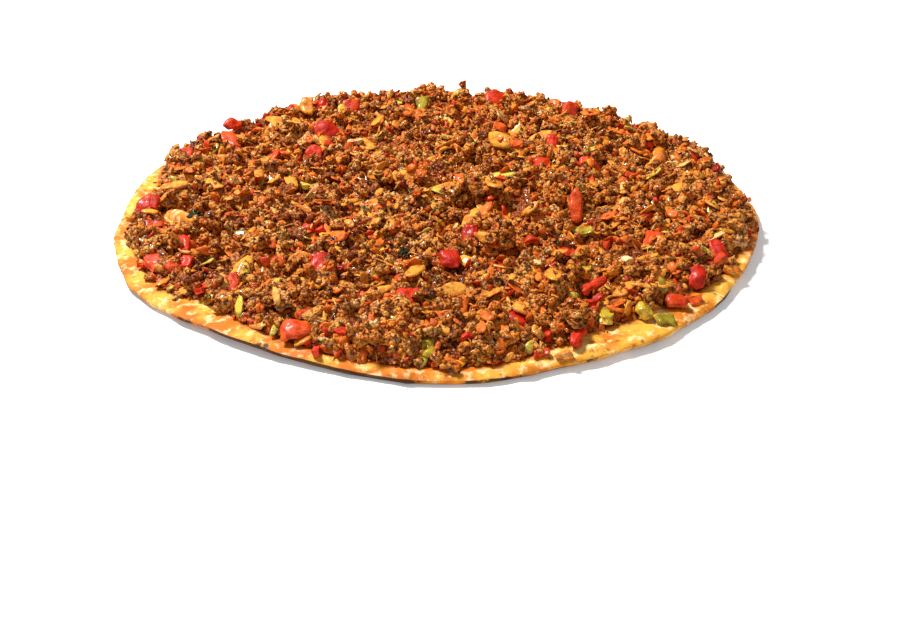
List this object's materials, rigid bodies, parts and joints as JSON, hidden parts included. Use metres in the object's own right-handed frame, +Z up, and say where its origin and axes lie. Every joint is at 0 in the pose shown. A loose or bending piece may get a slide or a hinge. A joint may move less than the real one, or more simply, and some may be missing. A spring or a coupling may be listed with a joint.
{
  "type": "lahmacun",
  "caption": "Round thin flatbread baked under a layer of spiced mince, with diced red, orange and green pepper, tomato and onion set in the mince.",
  "frame": {"origin": "on the resting plane, below the middle of the bread", "axes": "+Z up, -Y towards the side shown in front, +X to the right of it"},
  "size_m": [0.2804, 0.2832, 0.016],
  "materials": {
    "baked_dough": "baked dough, cream to golden, scorched spots and oily orange stains by the sauce",
    "spiced_mince": "baked minced meat in tomato and pepper paste, nubbly, slightly oily",
    "red_pepper": "roasted red pepper, wet gloss",
    "tomato": "cooked tomato and orange-red pepper, wet gloss",
    "green_pepper": "cooked green pepper, yellow-green, wet gloss",
    "onion": "cooked onion, golden, partly translucent"
  },
  "bodies": {
    "root": {"flatbread": "baked_dough", "green_pepper_01": "green_pepper", "green_pepper_02": "green_pepper", "green_pepper_03": "green_pepper", "green_pepper_04": "green_pepper", "mince_layer": "spiced_mince", "onion_01": "onion", "onion_02": "onion", "onion_03": "onion", "red_pepper_01": "red_pepper", "red_pepper_02": "red_pepper", "red_pepper_03": "red_pepper", "red_pepper_04": "red_pepper", "red_pepper_05": "red_pepper", "red_pepper_06": "red_pepper", "red_pepper_07": "red_pepper", "red_pepper_08": "red_pepper", "red_pepper_09": "red_pepper", "red_pepper_10": "red_pepper", "red_pepper_11": "red_pepper", "red_pepper_12": "red_pepper", "red_pepper_13": "red_pepper", "red_pepper_14": "red_pepper", "red_pepper_15": "red_pepper", "red_pepper_16": "red_pepper", "red_pepper_17": "red_pepper", "red_pepper_18": "red_pepper", "red_pepper_19": "red_pepper", "red_pepper_20": "red_pepper", "red_pepper_21": "red_pepper", "red_pepper_22": "red_pepper", "red_pepper_23": "red_pepper", "red_pepper_24": "red_pepper", "red_pepper_25": "red_pepper", "tomato_01": "tomato", "tomato_02": "tomato", "tomato_03": "tomato", "tomato_04": "tomato", "tomato_05": "tomato", "tomato_06": "tomato", "tomato_07": "tomato", "tomato_08": "tomato", "tomato_09": "tomato", "tomato_10": "tomato"}
  },
  "joints": []
}
